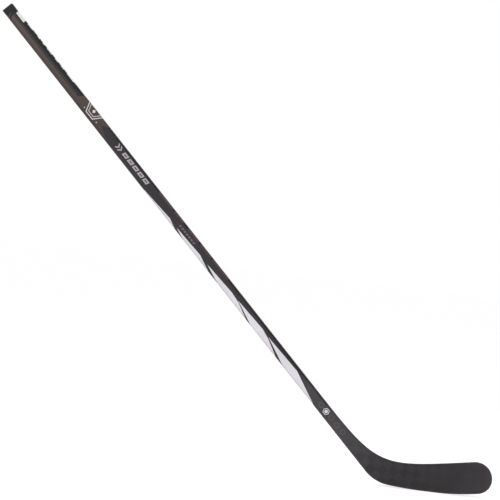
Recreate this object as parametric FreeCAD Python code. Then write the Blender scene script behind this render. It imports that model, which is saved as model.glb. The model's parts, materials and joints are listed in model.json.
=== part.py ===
"""Composite ice hockey stick, left-handed, intermediate size.

The stick stands in its playing pose: +X runs from the heel to the toe, +Z is up and -Y is the
forehand side. The origin is the centre of the blade's flat spot, on the ice. Millimetres.
Every printed film, laminate, core and moulding is its own solid and its own STEP file.
"""
import FreeCAD, Part
import math
import os

# Driving sizes ------------------------------------------------------------------------------
STICK_LENGTH = 1451.0        # heel to butt, along the lower edge (57 in)
LIE_ANGLE = 45.0             # shaft to ice, degrees (lie 5)

SHAFT_WIDTH = 29.4           # across the wide face
SHAFT_THICKNESS = 18.9       # between the wide faces
SHAFT_WALL = 1.8             # carbon laminate
SHAFT_CORNER = 4.5           # outer corner radius of the section
TAPER_HEIGHT = 450.0         # height above the heel where the shaft starts to thin
JOINT_HEIGHT = 241.6         # height above the heel where the shaft is fused to the blade
HOSEL_THICKNESS = 14.5       # section thickness at the fused joint
HOSEL_CORNER = 2.0           # edge radius of the hosel and the blade
LEAST_CORNER = 0.3           # no corner of the bore or the pieces in it is sharper

CAP_LENGTH = 14.2            # visible end of the butt cap
CAP_EDGE = 2.4               # rounding of the butt cap's end
CAP_SPIGOT = 30.0            # part of the cap inside the tube
CAP_WALL = 1.6
GLUE_GAP = 0.25              # hot-melt film between spigot and bore
LINER_THICKNESS = 0.2        # inflated film left in the tube after moulding
LINER_CLEARANCE = 8.0        # liner ends this far from the tenon and the cap

TENON_LENGTH = 60.0          # blade stub inside the tube
TENON_WALL = 1.5
BOND_GAP = 0.15              # epoxy film around the tenon
WRAP_REACH = 15.0            # fused wrap covers this much on each side of the joint
WRAP_THICKNESS = 0.6         # the wrap lies flush in the surface

HEEL_REACH = 129.0           # blade centre back to the heel corner
TOE_REACH = 143.7            # blade centre to the tip of the toe
BLADE_HEIGHT = 67.5          # top edge above the ice at the blade's centre
TOP_SLOPE = 9.6              # rise of the top edge towards the toe, degrees
FLAT_SPOT = 24.0             # length of blade that rests on the ice
HEEL_ROCKER = 967.0          # radius of the bottom edge behind the flat spot
TOE_ROCKER = 575.0           # radius of the bottom edge ahead of it
HEEL_RADIUS = 96.0           # bend from the shaft's lower edge into the bottom edge
TOE_RADIUS = 35.6            # lower half of the rounded toe
THROAT_SHAFT = 197.0         # throat curve, reach up the shaft from the corner
THROAT_BLADE = 180.0         # throat curve, reach along the blade from the corner
THROAT_TIGHT = 12.0          # handle length left at the corner: small is a tighter throat

BLADE_THICK_HEEL = 8.4       # blade thickness where the hosel's fan of sections ends
BLADE_THICK_TOE = 5.2
TOP_THINNING = 0.8           # the top edge is this much thinner than the bottom edge
CURVE_DEPTH = 15.4           # how far the toe is hooked to the forehand side
FACE_OPENING = 6.0           # how far the top edge leans back at the toe
SKIN_HOSEL = 2.0             # skin laminate at the joint
SKIN_BLADE = 1.0             # skin laminate from the heel to the toe
RIM_WIDTH = 4.0              # edge band between the skins
RIB_THICKNESS = 1.5          # bridge between the two foam cores
RIB_BEND = 95.0              # radius of the rib where it turns into the hosel

FILM = 0.15                  # printed film, inlaid flush with the surface round it
WRAP_ROUND = 2.0             # extra outline width that carries a film round an edge
REACH_Y = 60.0               # half length of cutting prisms, well past every surface

# Shaft frame: "height" runs up the lower edge from the heel, "across" from the lower edge up --
LIE = math.radians(LIE_ANGLE)
UP_SHAFT = FreeCAD.Vector(-math.cos(LIE), 0, math.sin(LIE))
ACROSS_SHAFT = FreeCAD.Vector(math.sin(LIE), 0, math.cos(LIE))
HEEL = FreeCAD.Vector(-HEEL_REACH, 0, 0)
Y_AXIS = FreeCAD.Vector(0, 1, 0)
TUBE_TOP = STICK_LENGTH - CAP_LENGTH
PRINT_ZERO = TUBE_TOP + 9.8                 # height that every print is measured down from
JOINT_ALONG = PRINT_ZERO - JOINT_HEIGHT     # the joint, measured the same way


def shaft_point(height, across, y=0.0):
    """Point of the shaft frame in the stick's frame."""
    return HEEL + UP_SHAFT * height + ACROSS_SHAFT * across + Y_AXIS * y


def taper_share(height):
    """0 where the shaft is full, 1 at the fused joint, more below it."""
    if height >= TAPER_HEIGHT:
        return 0.0
    return (TAPER_HEIGHT - height) / (TAPER_HEIGHT - JOINT_HEIGHT)


def section_thickness(height):
    return SHAFT_THICKNESS - (SHAFT_THICKNESS - HOSEL_THICKNESS) * taper_share(height)


def section_corner(height, inset):
    """Corner radius of the section: both ends of the taper are moved in, never below a minimum."""
    share = min(taper_share(height), 1.0)
    full = max(SHAFT_CORNER - inset, LEAST_CORNER)
    thin = max(HOSEL_CORNER - inset, LEAST_CORNER)
    return full - (full - thin) * share


def section(height, inset):
    """Rounded rectangle across the shaft, moved in from the outer surface by inset."""
    half_width = SHAFT_WIDTH / 2 - inset
    half_thick = section_thickness(height) / 2 - inset
    radius = section_corner(height, inset)
    kink = radius * (1 - math.sqrt(0.5))
    centre = SHAFT_WIDTH / 2
    edges = []
    previous = None
    first = None
    for side_w, side_y in ((1, -1), (1, 1), (-1, 1), (-1, -1)):
        wide = side_w * half_width
        thick = side_y * half_thick
        on_end = (wide, thick - side_y * radius)
        on_face = (wide - side_w * radius, thick)
        middle = (wide - side_w * kink, thick - side_y * kink)
        order = (on_face, middle, on_end) if side_w * side_y < 0 else (on_end, middle, on_face)
        arc = [shaft_point(height, centre + w, y) for w, y in order]
        if previous is not None:
            edges.append(Part.LineSegment(previous, arc[0]).toShape())
        edges.append(Part.Arc(*arc).toShape())
        previous = arc[2]
        first = first or arc[0]
    edges.append(Part.LineSegment(previous, first).toShape())
    return Part.Wire(edges)


def shaft_solid(low, high, inset):
    """Solid bar between two heights; the taper and the straight part are fused."""
    stops = [low, high]
    if low < TAPER_HEIGHT < high:
        stops = [low, TAPER_HEIGHT, high]
    bars = []
    for start, end in zip(stops, stops[1:]):
        bars.append(Part.makeLoft([section(start, inset), section(end, inset)], True, True))
    bar = bars[0]
    for more in bars[1:]:
        bar = bar.fuse(more)
    return bar


def shaft_shell(low, high, outer, inner):
    return shaft_solid(low, high, outer).cut(shaft_solid(low, high, inner))


# Blade outline ------------------------------------------------------------------------------
def direction(angle):
    """Unit vector in the XZ plane, angle in degrees from +X."""
    turn = math.radians(angle)
    return FreeCAD.Vector(math.cos(turn), 0, math.sin(turn))


def meet(line_a, line_b):
    """Crossing point of two lines, each a point and a direction in the XZ plane."""
    point_a, dir_a = line_a
    point_b, dir_b = line_b
    gap = point_b - point_a
    cross = dir_a.x * dir_b.z - dir_a.z * dir_b.x
    return point_a + dir_a * ((gap.x * dir_b.z - gap.z * dir_b.x) / cross)


def moved_in(line, inset):
    """A side of the outline moved towards the inside, which lies to the left of its direction."""
    point, along = line
    return (point + FreeCAD.Vector(-along.z, 0, along.x) * inset, along)


def rounded(line_a, line_b, radius):
    """Arc that joins two sides: its start, middle and end."""
    corner = meet(line_a, line_b)
    reach = radius * math.tan(line_a[1].getAngle(line_b[1]) / 2)
    start = corner - line_a[1] * reach
    end = corner + line_b[1] * reach
    inward = (start + end) * 0.5 - corner
    inward.normalize()
    middle = corner + inward * (math.hypot(reach, radius) - radius)
    return start, middle, end


def nested_centre(base, along, outer_centre, gap):
    """Point on a line, at a given distance from another centre, on the line's far side."""
    offset = base - outer_centre
    half = offset.dot(along)
    return base + along * (-half + math.sqrt(half * half - offset.dot(offset) + gap * gap))


def angle_of(vector):
    return math.degrees(math.atan2(vector.z, vector.x)) % 360


def edge_arcs():
    """The convex arcs from the heel to the top of the toe: centre, radius, first and last angle.
    Each is tangent to the next. The heel arc is tangent to the shaft's lower edge."""
    rocker_back = FreeCAD.Vector(-FLAT_SPOT / 2, 0, HEEL_ROCKER)
    rocker_front = FreeCAD.Vector(FLAT_SPOT / 2, 0, TOE_ROCKER)
    heel = nested_centre(shaft_point(0, HEEL_RADIUS), UP_SHAFT * -1, rocker_back,
                         HEEL_ROCKER - HEEL_RADIUS)
    toe = nested_centre(FreeCAD.Vector(TOE_REACH - TOE_RADIUS, 0, BLADE_HEIGHT), direction(270),
                        rocker_front, TOE_ROCKER - TOE_RADIUS)
    heel_end = angle_of(heel - rocker_back)
    toe_start = angle_of(toe - rocker_front)
    toe_line = (FreeCAD.Vector(TOE_REACH, 0, 0), direction(90))
    top_corner = meet(toe_line, top_line())
    nose_reach = top_corner.z - toe.z
    nose = nose_reach / math.tan(math.radians(90 + TOP_SLOPE) / 2)
    nose_centre = FreeCAD.Vector(TOE_REACH - nose, 0, toe.z)
    return [
        (heel, HEEL_RADIUS, 270 - LIE_ANGLE, heel_end),
        (rocker_back, HEEL_ROCKER, heel_end, 270),
        (rocker_front, TOE_ROCKER, 270, toe_start),
        (toe, TOE_RADIUS, toe_start, 360),
        (nose_centre, nose, 0, 90 + TOP_SLOPE),
    ]


def top_line():
    return (FreeCAD.Vector(0, 0, BLADE_HEIGHT), direction(180 + TOP_SLOPE))


def throat_curve(inset):
    """Bezier from the top edge up into the shaft's upper edge."""
    top = top_line()
    corner = meet(top, (shaft_point(0, SHAFT_WIDTH), UP_SHAFT))
    from_top = FreeCAD.Vector(-top[1].z, 0, top[1].x) * inset
    from_shaft = ACROSS_SHAFT * -inset
    poles = [
        corner - top[1] * THROAT_BLADE + from_top,
        corner - top[1] * THROAT_TIGHT + from_top,
        corner + UP_SHAFT * THROAT_TIGHT + from_shaft,
        corner + UP_SHAFT * THROAT_SHAFT + from_shaft,
    ]
    curve = Part.BezierCurve()
    curve.setPoles(poles)
    return curve, poles[0], poles[3]


def blade_outline(inset):
    """Closed wire of the hosel and blade, moved in by inset except at the joint."""
    lower_start = shaft_point(JOINT_HEIGHT, inset)
    upper_end = shaft_point(JOINT_HEIGHT, SHAFT_WIDTH - inset)
    edges = []
    here = lower_start
    for centre, radius, first, last in edge_arcs():
        start, middle, end = [centre + direction(angle) * (radius - inset)
                              for angle in (first, (first + last) / 2, last)]
        if (start - here).Length > 0.001:
            edges.append(Part.LineSegment(here, start).toShape())
        edges.append(Part.Arc(start, middle, end).toShape())
        here = end
    throat, throat_start, throat_end = throat_curve(inset)
    edges.append(Part.LineSegment(here, throat_start).toShape())
    edges.append(throat.toShape())
    edges.append(Part.LineSegment(throat_end, upper_end).toShape())
    edges.append(Part.LineSegment(upper_end, lower_start).toShape())
    return Part.Wire(edges)


def through_prism(wire, y_from=-REACH_Y, y_to=REACH_Y):
    """Flat outline in the XZ plane made into a bar along Y."""
    face = Part.Face(wire)
    face.translate(Y_AXIS * y_from)
    return face.extrude(Y_AXIS * (y_to - y_from))


# Blade thickness, curve and opening ----------------------------------------------------------
FAN_SHARE = 0.47                            # of the reach to the heel
FAN_X = -HEEL_REACH * FAN_SHARE             # the blade's sections are upright from here on
FAN_START = 110.0                           # height of the last section square to the shaft
HOSEL_STATIONS = (190.0, 145.0)             # heights of two sections between the joint and the fan
BEYOND = 20.0                               # the first section lies past the joint by this
FAN_PART = 0.6                              # share of the heel's shape reached where the fan starts
MARGIN = 12.0                               # sections reach past the outline by this


def blade_stations():
    """Sections as (lower point, upper point, share): share is 0 at the joint, 1 at the heel,
    2 at the toe. Square to the shaft, then fanned about a point above the throat, then upright."""
    hub = meet((shaft_point(FAN_START, 0), ACROSS_SHAFT), (FreeCAD.Vector(FAN_X, 0, 0), direction(90)))
    above = SHAFT_WIDTH + MARGIN
    stations = []
    for height in (JOINT_HEIGHT + BEYOND, JOINT_HEIGHT) + HOSEL_STATIONS + (FAN_START,):
        share = FAN_PART * (JOINT_HEIGHT - height) / (JOINT_HEIGHT - FAN_START)
        stations.append((shaft_point(height, -MARGIN), shaft_point(height, above), share))
    blade_top = BLADE_HEIGHT + MARGIN
    first_low = (stations[-1][0] - hub).Length
    first_up = (stations[-1][1] - hub).Length
    for step in (1, 2):
        part = step / 3
        angle = -90 - (90 - LIE_ANGLE) * (1 - part)
        low = first_low + (hub.z + MARGIN - first_low) * part
        up = first_up + (hub.z - blade_top - first_up) * part
        stations.append((hub + direction(angle) * low, hub + direction(angle) * up,
                         FAN_PART + (1 - FAN_PART) * part))
    for step in range(6):
        part = step / 5
        x = FAN_X + (TOE_REACH + 8 - FAN_X) * part
        top = BLADE_HEIGHT + MARGIN + max(x, 0) * math.tan(math.radians(TOP_SLOPE))
        stations.append((FreeCAD.Vector(x, 0, -MARGIN), FreeCAD.Vector(x, 0, top), 1 + part))
    return stations


def station_thickness(share):
    if share < 1:
        return HOSEL_THICKNESS + (BLADE_THICK_HEEL - HOSEL_THICKNESS) * share
    return BLADE_THICK_HEEL + (BLADE_THICK_TOE - BLADE_THICK_HEEL) * (share - 1) ** 0.8


def slab(grow, follow_skin=False):
    """The blade's body between its two faces, each moved out by grow, or in by the skin."""
    wires = []
    for low, up, share in blade_stations():
        inward = SKIN_HOSEL + (SKIN_BLADE - SKIN_HOSEL) * min(max(share, 0), 1)
        offset = -inward if follow_skin else grow
        low_half = station_thickness(share) / 2 + offset
        thinning = TOP_THINNING * min(max(share, 0), 1)
        up_half = low_half - thinning / 2
        hooked = max(share - 1, 0) ** 1.8
        low_y = -CURVE_DEPTH * hooked
        up_y = low_y + FACE_OPENING * hooked
        corners = [low + Y_AXIS * (low_y - low_half), low + Y_AXIS * (low_y + low_half),
                   up + Y_AXIS * (up_y + up_half), up + Y_AXIS * (up_y - up_half)]
        wires.append(Part.makePolygon(corners + corners[:1]))
    return Part.makeLoft(wires, True, False)


def blade_envelope():
    """Outer shape of hosel and blade, with its long edges rounded."""
    body = slab(0).common(through_prism(blade_outline(0)))
    long_edges = []
    for edge in body.Edges:
        ends = [vertex.Point for vertex in edge.Vertexes]
        through = math.hypot(ends[0].x - ends[-1].x, ends[0].z - ends[-1].z) < 0.01
        at_joint = min((end - HEEL).dot(UP_SHAFT) for end in ends) > JOINT_HEIGHT - 0.01
        if not through and not at_joint:
            long_edges.append(edge)
    return body.makeFillet(HOSEL_CORNER, long_edges)


def by_side(shape):
    """Solids of a shape, forehand side first."""
    return sorted(shape.Solids, key=lambda solid: solid.CenterOfMass.y)


def rib_strip():
    """Band along the middle of the blade that turns up into the hosel."""
    blade_line = (FreeCAD.Vector(0, 0, BLADE_HEIGHT / 2), direction(TOP_SLOPE / 2))
    shaft_line = (shaft_point(0, SHAFT_WIDTH / 2), UP_SHAFT * -1)
    half = RIB_THICKNESS / 2
    sides = []
    for offset in (half, -half):
        down = moved_in(shaft_line, offset)
        out = moved_in(blade_line, offset)
        start, middle, end = rounded(down, out, RIB_BEND - offset)
        top = down[0] + UP_SHAFT * (JOINT_HEIGHT + MARGIN)
        tip = out[0] + out[1] * (TOE_REACH + MARGIN)
        sides.append((top, start, middle, end, tip))
    edges = []
    for top, start, middle, end, tip in sides:
        edges.append(Part.LineSegment(top, start).toShape())
        edges.append(Part.Arc(start, middle, end).toShape())
        edges.append(Part.LineSegment(end, tip).toShape())
    edges.append(Part.LineSegment(sides[0][0], sides[1][0]).toShape())
    edges.append(Part.LineSegment(sides[0][4], sides[1][4]).toShape())
    return through_prism(Part.Wire(Part.__sortEdges__(edges)))


# Sub-parts ----------------------------------------------------------------------------------
def wrap_zone():
    """Everything outside the wrap's bed, between its two ends."""
    low = JOINT_HEIGHT - WRAP_REACH
    high = JOINT_HEIGHT + WRAP_REACH
    block = shaft_solid(low, high, -MARGIN)
    return block.cut(shaft_solid(low, high, WRAP_THICKNESS))


def make_shaft(films):
    tube = shaft_shell(JOINT_HEIGHT, TUBE_TOP, 0, SHAFT_WALL)
    return tube.cut([wrap_zone()] + films)


def make_liner():
    low = JOINT_HEIGHT + TENON_LENGTH + LINER_CLEARANCE
    high = TUBE_TOP - CAP_SPIGOT - LINER_CLEARANCE
    return shaft_shell(low, high, SHAFT_WALL, SHAFT_WALL + LINER_THICKNESS)


def make_butt_cap():
    head = shaft_solid(TUBE_TOP, STICK_LENGTH, 0)
    end_edges = []
    for edge in head.Edges:
        heights = [(vertex.Point - HEEL).dot(UP_SHAFT) for vertex in edge.Vertexes]
        if min(heights) > STICK_LENGTH - 0.01:
            end_edges.append(edge)
    head = head.makeFillet(CAP_EDGE, end_edges)
    fit = SHAFT_WALL + GLUE_GAP
    spigot = shaft_shell(TUBE_TOP - CAP_SPIGOT, TUBE_TOP, fit, fit + CAP_WALL)
    return head.fuse(spigot)


def make_cap_glue():
    high = TUBE_TOP - 2
    low = TUBE_TOP - CAP_SPIGOT + 2
    return shaft_shell(low, high, SHAFT_WALL, SHAFT_WALL + GLUE_GAP)


def make_tenon_parts():
    top = JOINT_HEIGHT + TENON_LENGTH
    outer = SHAFT_WALL + BOND_GAP
    return {
        "blade_tenon": shaft_shell(JOINT_HEIGHT, top, outer, outer + TENON_WALL),
        "tenon_foam": shaft_solid(JOINT_HEIGHT, top, outer + TENON_WALL),
        "tenon_bond": shaft_shell(JOINT_HEIGHT, top - 2, SHAFT_WALL, outer),
    }


def make_blade_parts(envelope, films):
    inside = slab(0, follow_skin=True)
    inner_prism = through_prism(blade_outline(RIM_WIDTH))
    zone = wrap_zone()
    skins = by_side(envelope.cut(inside).cut(zone))
    filled = envelope.common(inside)
    middle = filled.common(inner_prism)
    strip = rib_strip()
    cores = sorted(middle.cut(strip).Solids, key=lambda solid: solid.CenterOfMass.z)
    tube_end = shaft_solid(JOINT_HEIGHT, JOINT_HEIGHT + WRAP_REACH, 0)
    return {
        "blade_skin_front": skins[0].cut(films),
        "blade_skin_back": skins[1],
        "blade_rim": filled.cut(inner_prism).cut(zone),
        "blade_core_lower": cores[0],
        "blade_core_upper": cores[1],
        "blade_rib": middle.common(strip),
        "hosel_wrap": envelope.fuse(tube_end).common(zone).cut(films),
    }


# Printed films: "along" runs down from the butt, "across" down from the upper edge ----------
def print_point(along, across):
    return shaft_point(PRINT_ZERO - along, SHAFT_WIDTH - across)


def print_prism(corners, y_from=-REACH_Y, y_to=REACH_Y):
    points = [print_point(along, across) for along, across in corners]
    return through_prism(Part.makePolygon(points + points[:1]), y_from, y_to)


def regular(along, across, radius, sides, turn=0.0):
    """Corners of a regular figure on the wide face."""
    corners = []
    for step in range(sides):
        angle = math.radians(turn + 360 * step / sides)
        corners.append((along + radius * math.cos(angle), across + radius * math.sin(angle)))
    return corners


def ring(along, across, radius, line, sides, turn=0.0, **depth):
    outer = print_prism(regular(along, across, radius, sides, turn), **depth)
    return outer.cut(print_prism(regular(along, across, radius - line, sides, turn), **depth))


def slanted(along, across, length, height, lean):
    """Leaning block: its lower end is nearer the butt by lean."""
    return [(along + lean, across), (along + lean + length, across),
            (along + length, across + height), (along, across + height)]


BELOW = SHAFT_WIDTH + WRAP_ROUND            # past the lower edge
ABOVE = -WRAP_ROUND                         # past the upper edge
FRONT = {"y_from": -REACH_Y, "y_to": 0.0}

# Outlines as (along, across) points
LABEL = [(21, ABOVE), (50, ABOVE), (50, 7.4), (21, 7.4)]
PIN_LINE = [(18, 11.6), (266, 11.6), (264, 12.9), (18, 12.9)]
MITRE = [(10.5, 16.8), (13, 16.8), (23, BELOW), (20.5, BELOW)]
GRIP_PANEL = [(19, 15.0), (268, 15.0), (281, ABOVE), (379, ABOVE), (377, 1.5), (360, 13.2),
              (390, 25.4), (543, 27.4), (543, BELOW), (26, BELOW)]
CHEVRON = [(0, 6.0), (4, 6.0), (10, 12.8), (4, 19.6), (0, 19.6), (6, 12.8)]

# Rows of marks
CHEVRON_STARTS = (418, 427)
BLOCK_START = 443                           # first of five leaning blocks
BLOCK_PITCH = 19.5
TICKS = ((60, 19), (98, 8), (117, 8), (134, 19), (165, 11), (188, 11), (211, 27))   # start, length
COPPER_MARKS = ((634, 51), (576, 35), (523, 41), (475, 40), (429, 60))   # above the joint, length
DASH_START = 542                            # above the joint, first of seven dashes
DASH_PITCH = 8.6
BADGE_CENTRE = 322.0                        # six-sided badge on the upper edge
BADGE_STUDS = (300.0, 346.0)
HOSEL_BADGE_BELOW = 26.5                    # below the joint
HOSEL_RINGS_BELOW = (7.0, 46.0, 69.0, 90.0)


def joined(shapes):
    result = shapes[0]
    for shape in shapes[1:]:
        result = result.fuse(shape)
    return result


def stripe_outlines():
    """Five long white flames that climb from the lower edge, placed upward from the joint."""
    w = SHAFT_WIDTH
    outlines = [
        [(660, w - 1.2), (569, w - 7.2), (532, BELOW), (660, BELOW)],
        [(541, w - 6.1), (455, w - 9.7), (401, BELOW), (497, BELOW)],
        [(427, w - 9.2), (337, w - 13.8), (309, w - 11.4), (257, BELOW), (364, BELOW)],
        [(313, w - 13.6), (223, w - 17.6), (197, w - 13.6), (142, BELOW), (235, BELOW)],
        [(199, w - 16.3), (93, w - 20.0), (10, w - 2.0), (1, BELOW), (111, BELOW)],
    ]
    return [[(JOINT_ALONG - up, across) for up, across in outline] for outline in outlines]


def block_prisms():
    """Pair of chevrons and five slotted blocks that lean like lettering, but spell nothing."""
    shapes = []
    for start in CHEVRON_STARTS:
        shapes.append(print_prism([(start + along, across) for along, across in CHEVRON], **FRONT))
    for number in range(5):
        start = BLOCK_START + number * BLOCK_PITCH
        block = print_prism(slanted(start, 8.0, 15.5, 9.6, 3.0), **FRONT)
        slot = print_prism(slanted(start + 4.6, 11.6, 8.5, 2.4, 0.8), **FRONT)
        shapes.append(block.cut(slot))
    return shapes


def badge_prism():
    """Six-sided rings centred on the upper edge, a core plate and two studs."""
    parts = [ring(BADGE_CENTRE, 0, 25.5, 2.2, 6), ring(BADGE_CENTRE, 0, 19.0, 1.6, 6),
             print_prism(regular(BADGE_CENTRE, 6.6, 4.4, 4))]
    for stud in BADGE_STUDS:
        parts.append(print_prism(regular(stud, 18.5, 1.7, 4), **FRONT))
    return joined(parts)


def make_shaft_films():
    low = JOINT_HEIGHT + 0.5
    film = shaft_shell(low, TUBE_TOP, 0, FILM)
    badge = film.common(badge_prism())
    label = film.common(print_prism(LABEL, -REACH_Y, 3.0))
    pin = film.common(print_prism(PIN_LINE, **FRONT))
    mitre = film.common(print_prism(MITRE, **FRONT))
    ticks = []
    for start, length in TICKS:
        corners = [(start, ABOVE), (start + length, ABOVE), (start + length - 1.2, 2.0), (start - 1.2, 2.0)]
        ticks.append(film.common(print_prism(corners, -REACH_Y, 5.0)))
    copper = []
    for above, length in COPPER_MARKS:
        start = JOINT_ALONG - above
        corners = [(start + 2, 1.4), (start + length + 2, 1.4), (start + length, 5.8), (start, 5.8)]
        copper.append(film.common(print_prism(corners, **FRONT)))
    dashes = []
    for number in range(7):
        corners = slanted(JOINT_ALONG - DASH_START + number * DASH_PITCH, 11.6, 5.2, 4.6, 1.4)
        dashes.append(film.common(print_prism(corners, **FRONT)))
    blocks = [film.common(shape) for shape in block_prisms()]
    films = {
        "grip_panel": film.common(print_prism(GRIP_PANEL)).cut(badge).cut(mitre),
        "grip_pinstripe": joined([pin, mitre]),
        "size_label": label,
        "edge_ticks": joined(ticks),
        "badge_rings": badge,
        "side_blocks": joined(blocks),
        "copper_edge_marks": joined(copper),
        "small_dashes": joined(dashes),
    }
    for number, outline in enumerate(stripe_outlines(), 1):
        films["white_stripe_%d" % number] = film.common(print_prism(outline))
    return films


def make_hosel_films(envelope):
    """Outlined hexagons and one solid badge on the forehand face of the hosel."""
    coat = envelope.cut(slab(-FILM))
    middle = SHAFT_WIDTH / 2
    badge_place = JOINT_ALONG + HOSEL_BADGE_BELOW
    badge = ring(badge_place, middle, 8.6, 1.8, 6, **FRONT)
    badge = badge.fuse(print_prism(regular(badge_place, middle, 4.6, 6), **FRONT))
    outlines = []
    for below in HOSEL_RINGS_BELOW:
        outlines.append(ring(JOINT_ALONG + below, middle, 6.6, 1.0, 6, **FRONT))
    return {
        "hosel_badge": coat.common(badge),
        "hosel_outlines": coat.common(joined(outlines)),
    }


def main():
    os.makedirs("parts", exist_ok=True)
    envelope = blade_envelope()
    shaft_films = make_shaft_films()
    hosel_films = make_hosel_films(envelope)
    every_film = list(shaft_films.values()) + list(hosel_films.values())
    nodes = {
        "shaft_tube": make_shaft(list(shaft_films.values())),
        "bladder_liner": make_liner(),
        "butt_cap": make_butt_cap(),
        "cap_glue": make_cap_glue(),
    }
    nodes.update(make_tenon_parts())
    nodes.update(make_blade_parts(envelope, every_film))
    nodes.update(shaft_films)
    nodes.update(hosel_films)
    for name, shape in nodes.items():
        solids = shape.Solids
        body = solids[0] if len(solids) == 1 else Part.makeCompound(solids)
        body.exportStep("parts/%s.step" % name)
        box = body.BoundBox
        print("%-18s solids %2d valid %s volume %9.1f  x %7.1f..%7.1f  y %6.2f..%6.2f  z %7.1f..%7.1f" % (
            name, len(solids), body.isValid(), body.Volume,
            box.XMin, box.XMax, box.YMin, box.YMax, box.ZMin, box.ZMax))


main()
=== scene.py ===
"""Ice hockey stick, left handed: a hollow carbon shaft with a plugged butt, fused to a foam-cored
carbon blade, with printed films on the shaft. Everything is in metres, in the frame of the CAD model:
the blade's flat spot rests at z = 0, the toe points along +X and the forehand face looks along -Y."""
import json
import math

import bmesh
import bpy
from mathutils import Matrix, Vector
from mathutils.geometry import interpolate_bezier


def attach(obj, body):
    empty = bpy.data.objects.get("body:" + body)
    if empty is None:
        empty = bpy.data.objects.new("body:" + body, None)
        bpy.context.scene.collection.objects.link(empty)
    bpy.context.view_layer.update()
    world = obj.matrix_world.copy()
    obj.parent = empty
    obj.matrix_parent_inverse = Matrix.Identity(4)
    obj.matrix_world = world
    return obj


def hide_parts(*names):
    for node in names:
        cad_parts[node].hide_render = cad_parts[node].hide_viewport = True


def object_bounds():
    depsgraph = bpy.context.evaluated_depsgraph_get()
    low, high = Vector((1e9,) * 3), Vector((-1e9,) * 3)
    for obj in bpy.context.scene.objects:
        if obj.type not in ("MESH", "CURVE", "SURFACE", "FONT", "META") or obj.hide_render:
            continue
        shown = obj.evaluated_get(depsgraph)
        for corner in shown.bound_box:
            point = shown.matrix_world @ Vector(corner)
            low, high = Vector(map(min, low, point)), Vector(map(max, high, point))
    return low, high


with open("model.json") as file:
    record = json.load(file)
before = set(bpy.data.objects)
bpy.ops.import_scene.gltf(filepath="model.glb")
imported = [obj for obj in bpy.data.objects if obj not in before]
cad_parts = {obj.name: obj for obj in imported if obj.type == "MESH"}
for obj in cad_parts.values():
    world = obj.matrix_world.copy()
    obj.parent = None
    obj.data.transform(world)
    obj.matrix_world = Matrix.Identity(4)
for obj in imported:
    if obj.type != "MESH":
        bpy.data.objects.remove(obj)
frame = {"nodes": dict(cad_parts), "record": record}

cad_low, cad_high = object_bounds()
scene = bpy.context.scene

# Camera ---------------------------------------------------------------
# A long lens square to the forehand face, turned a little about its own axis, so that the shaft
# falls from the upper left to the blade at the lower right.
VIEW_WIDTH = 1.2005
CAMERA_AWAY = 6.0
CAMERA_ROLL = math.radians(6.76)
AIM_RIGHT = 0.00755            # the lens aims this far off the stick's middle
AIM_UP = 0.00266
SENSOR = 36.0

stick_middle = (cad_low + cad_high) / 2
lens_target = Vector((stick_middle.x + AIM_RIGHT, 0, stick_middle.z + AIM_UP))
camera_right = Vector((math.cos(CAMERA_ROLL), 0, math.sin(CAMERA_ROLL)))
camera_up = Vector((-math.sin(CAMERA_ROLL), 0, math.cos(CAMERA_ROLL)))
camera_back = Vector((0, -1, 0))
camera_data = bpy.data.cameras.new("long_lens")
camera_data.sensor_width = SENSOR
camera_data.lens = SENSOR * CAMERA_AWAY / VIEW_WIDTH
camera_data.clip_end = 100
camera = bpy.data.objects.new("camera", camera_data)
scene.collection.objects.link(camera)
turn = Matrix((camera_right, camera_up, camera_back)).transposed()
camera.matrix_world = Matrix.Translation(lens_target + camera_back * CAMERA_AWAY) @ turn.to_4x4()
scene.camera = camera

# Floor and light ------------------------------------------------------
# A wide white floor that runs out of sight, white surroundings, a large soft sun from the upper
# left front, a strip over the stick's upper edge and a soft box behind it.
FLOOR_HALF = 60.0
FLOOR_WHITE = 0.8
FLOOR_GLOW = 0.4
ROOM_WHITE = 1.0
ROOM_LIGHT = 0.62
ROOM_IN_GLOSS = 0.25
SUN_POWER = 0.6
SUN_SPREAD = math.radians(50)
SUN_TOWARDS = Vector((0.45, 0.75, -1.0))


def add_node(tree, kind, inputs=None, **settings):
    """One shader node with its settings and its input values or links."""
    node = tree.nodes.new("ShaderNode" + kind)
    for name, value in settings.items():
        setattr(node, name, value)
    for name, value in (inputs or {}).items():
        if isinstance(value, bpy.types.NodeSocket):
            tree.links.new(value, node.inputs[name])
        else:
            node.inputs[name].default_value = value
    return node


floor_bm = bmesh.new()
bmesh.ops.create_grid(floor_bm, x_segments=12, y_segments=12, size=FLOOR_HALF)
floor_mesh = bpy.data.meshes.new("floor")
floor_bm.to_mesh(floor_mesh)
floor_bm.free()
floor = bpy.data.objects.new("floor", floor_mesh)
scene.collection.objects.link(floor)
floor_paint = bpy.data.materials.new("floor_paint")
floor_paint.use_nodes = True
floor_shader = floor_paint.node_tree.nodes["Principled BSDF"]
floor_shader.inputs["Base Color"].default_value = (FLOOR_WHITE, FLOOR_WHITE, FLOOR_WHITE, 1)
floor_shader.inputs["Roughness"].default_value = 0.9
floor_shader.inputs["Specular IOR Level"].default_value = 0.1
floor_rays = add_node(floor_paint.node_tree, "LightPath")
floor_glow = add_node(floor_paint.node_tree, "MapRange", {"Value": floor_rays.outputs["Is Camera Ray"],
                                                          "To Max": FLOOR_GLOW})
floor_shader.inputs["Emission Color"].default_value = (1, 1, 1, 1)
floor_paint.node_tree.links.new(floor_glow.outputs["Result"], floor_shader.inputs["Emission Strength"])
floor_mesh.materials.append(floor_paint)

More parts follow.
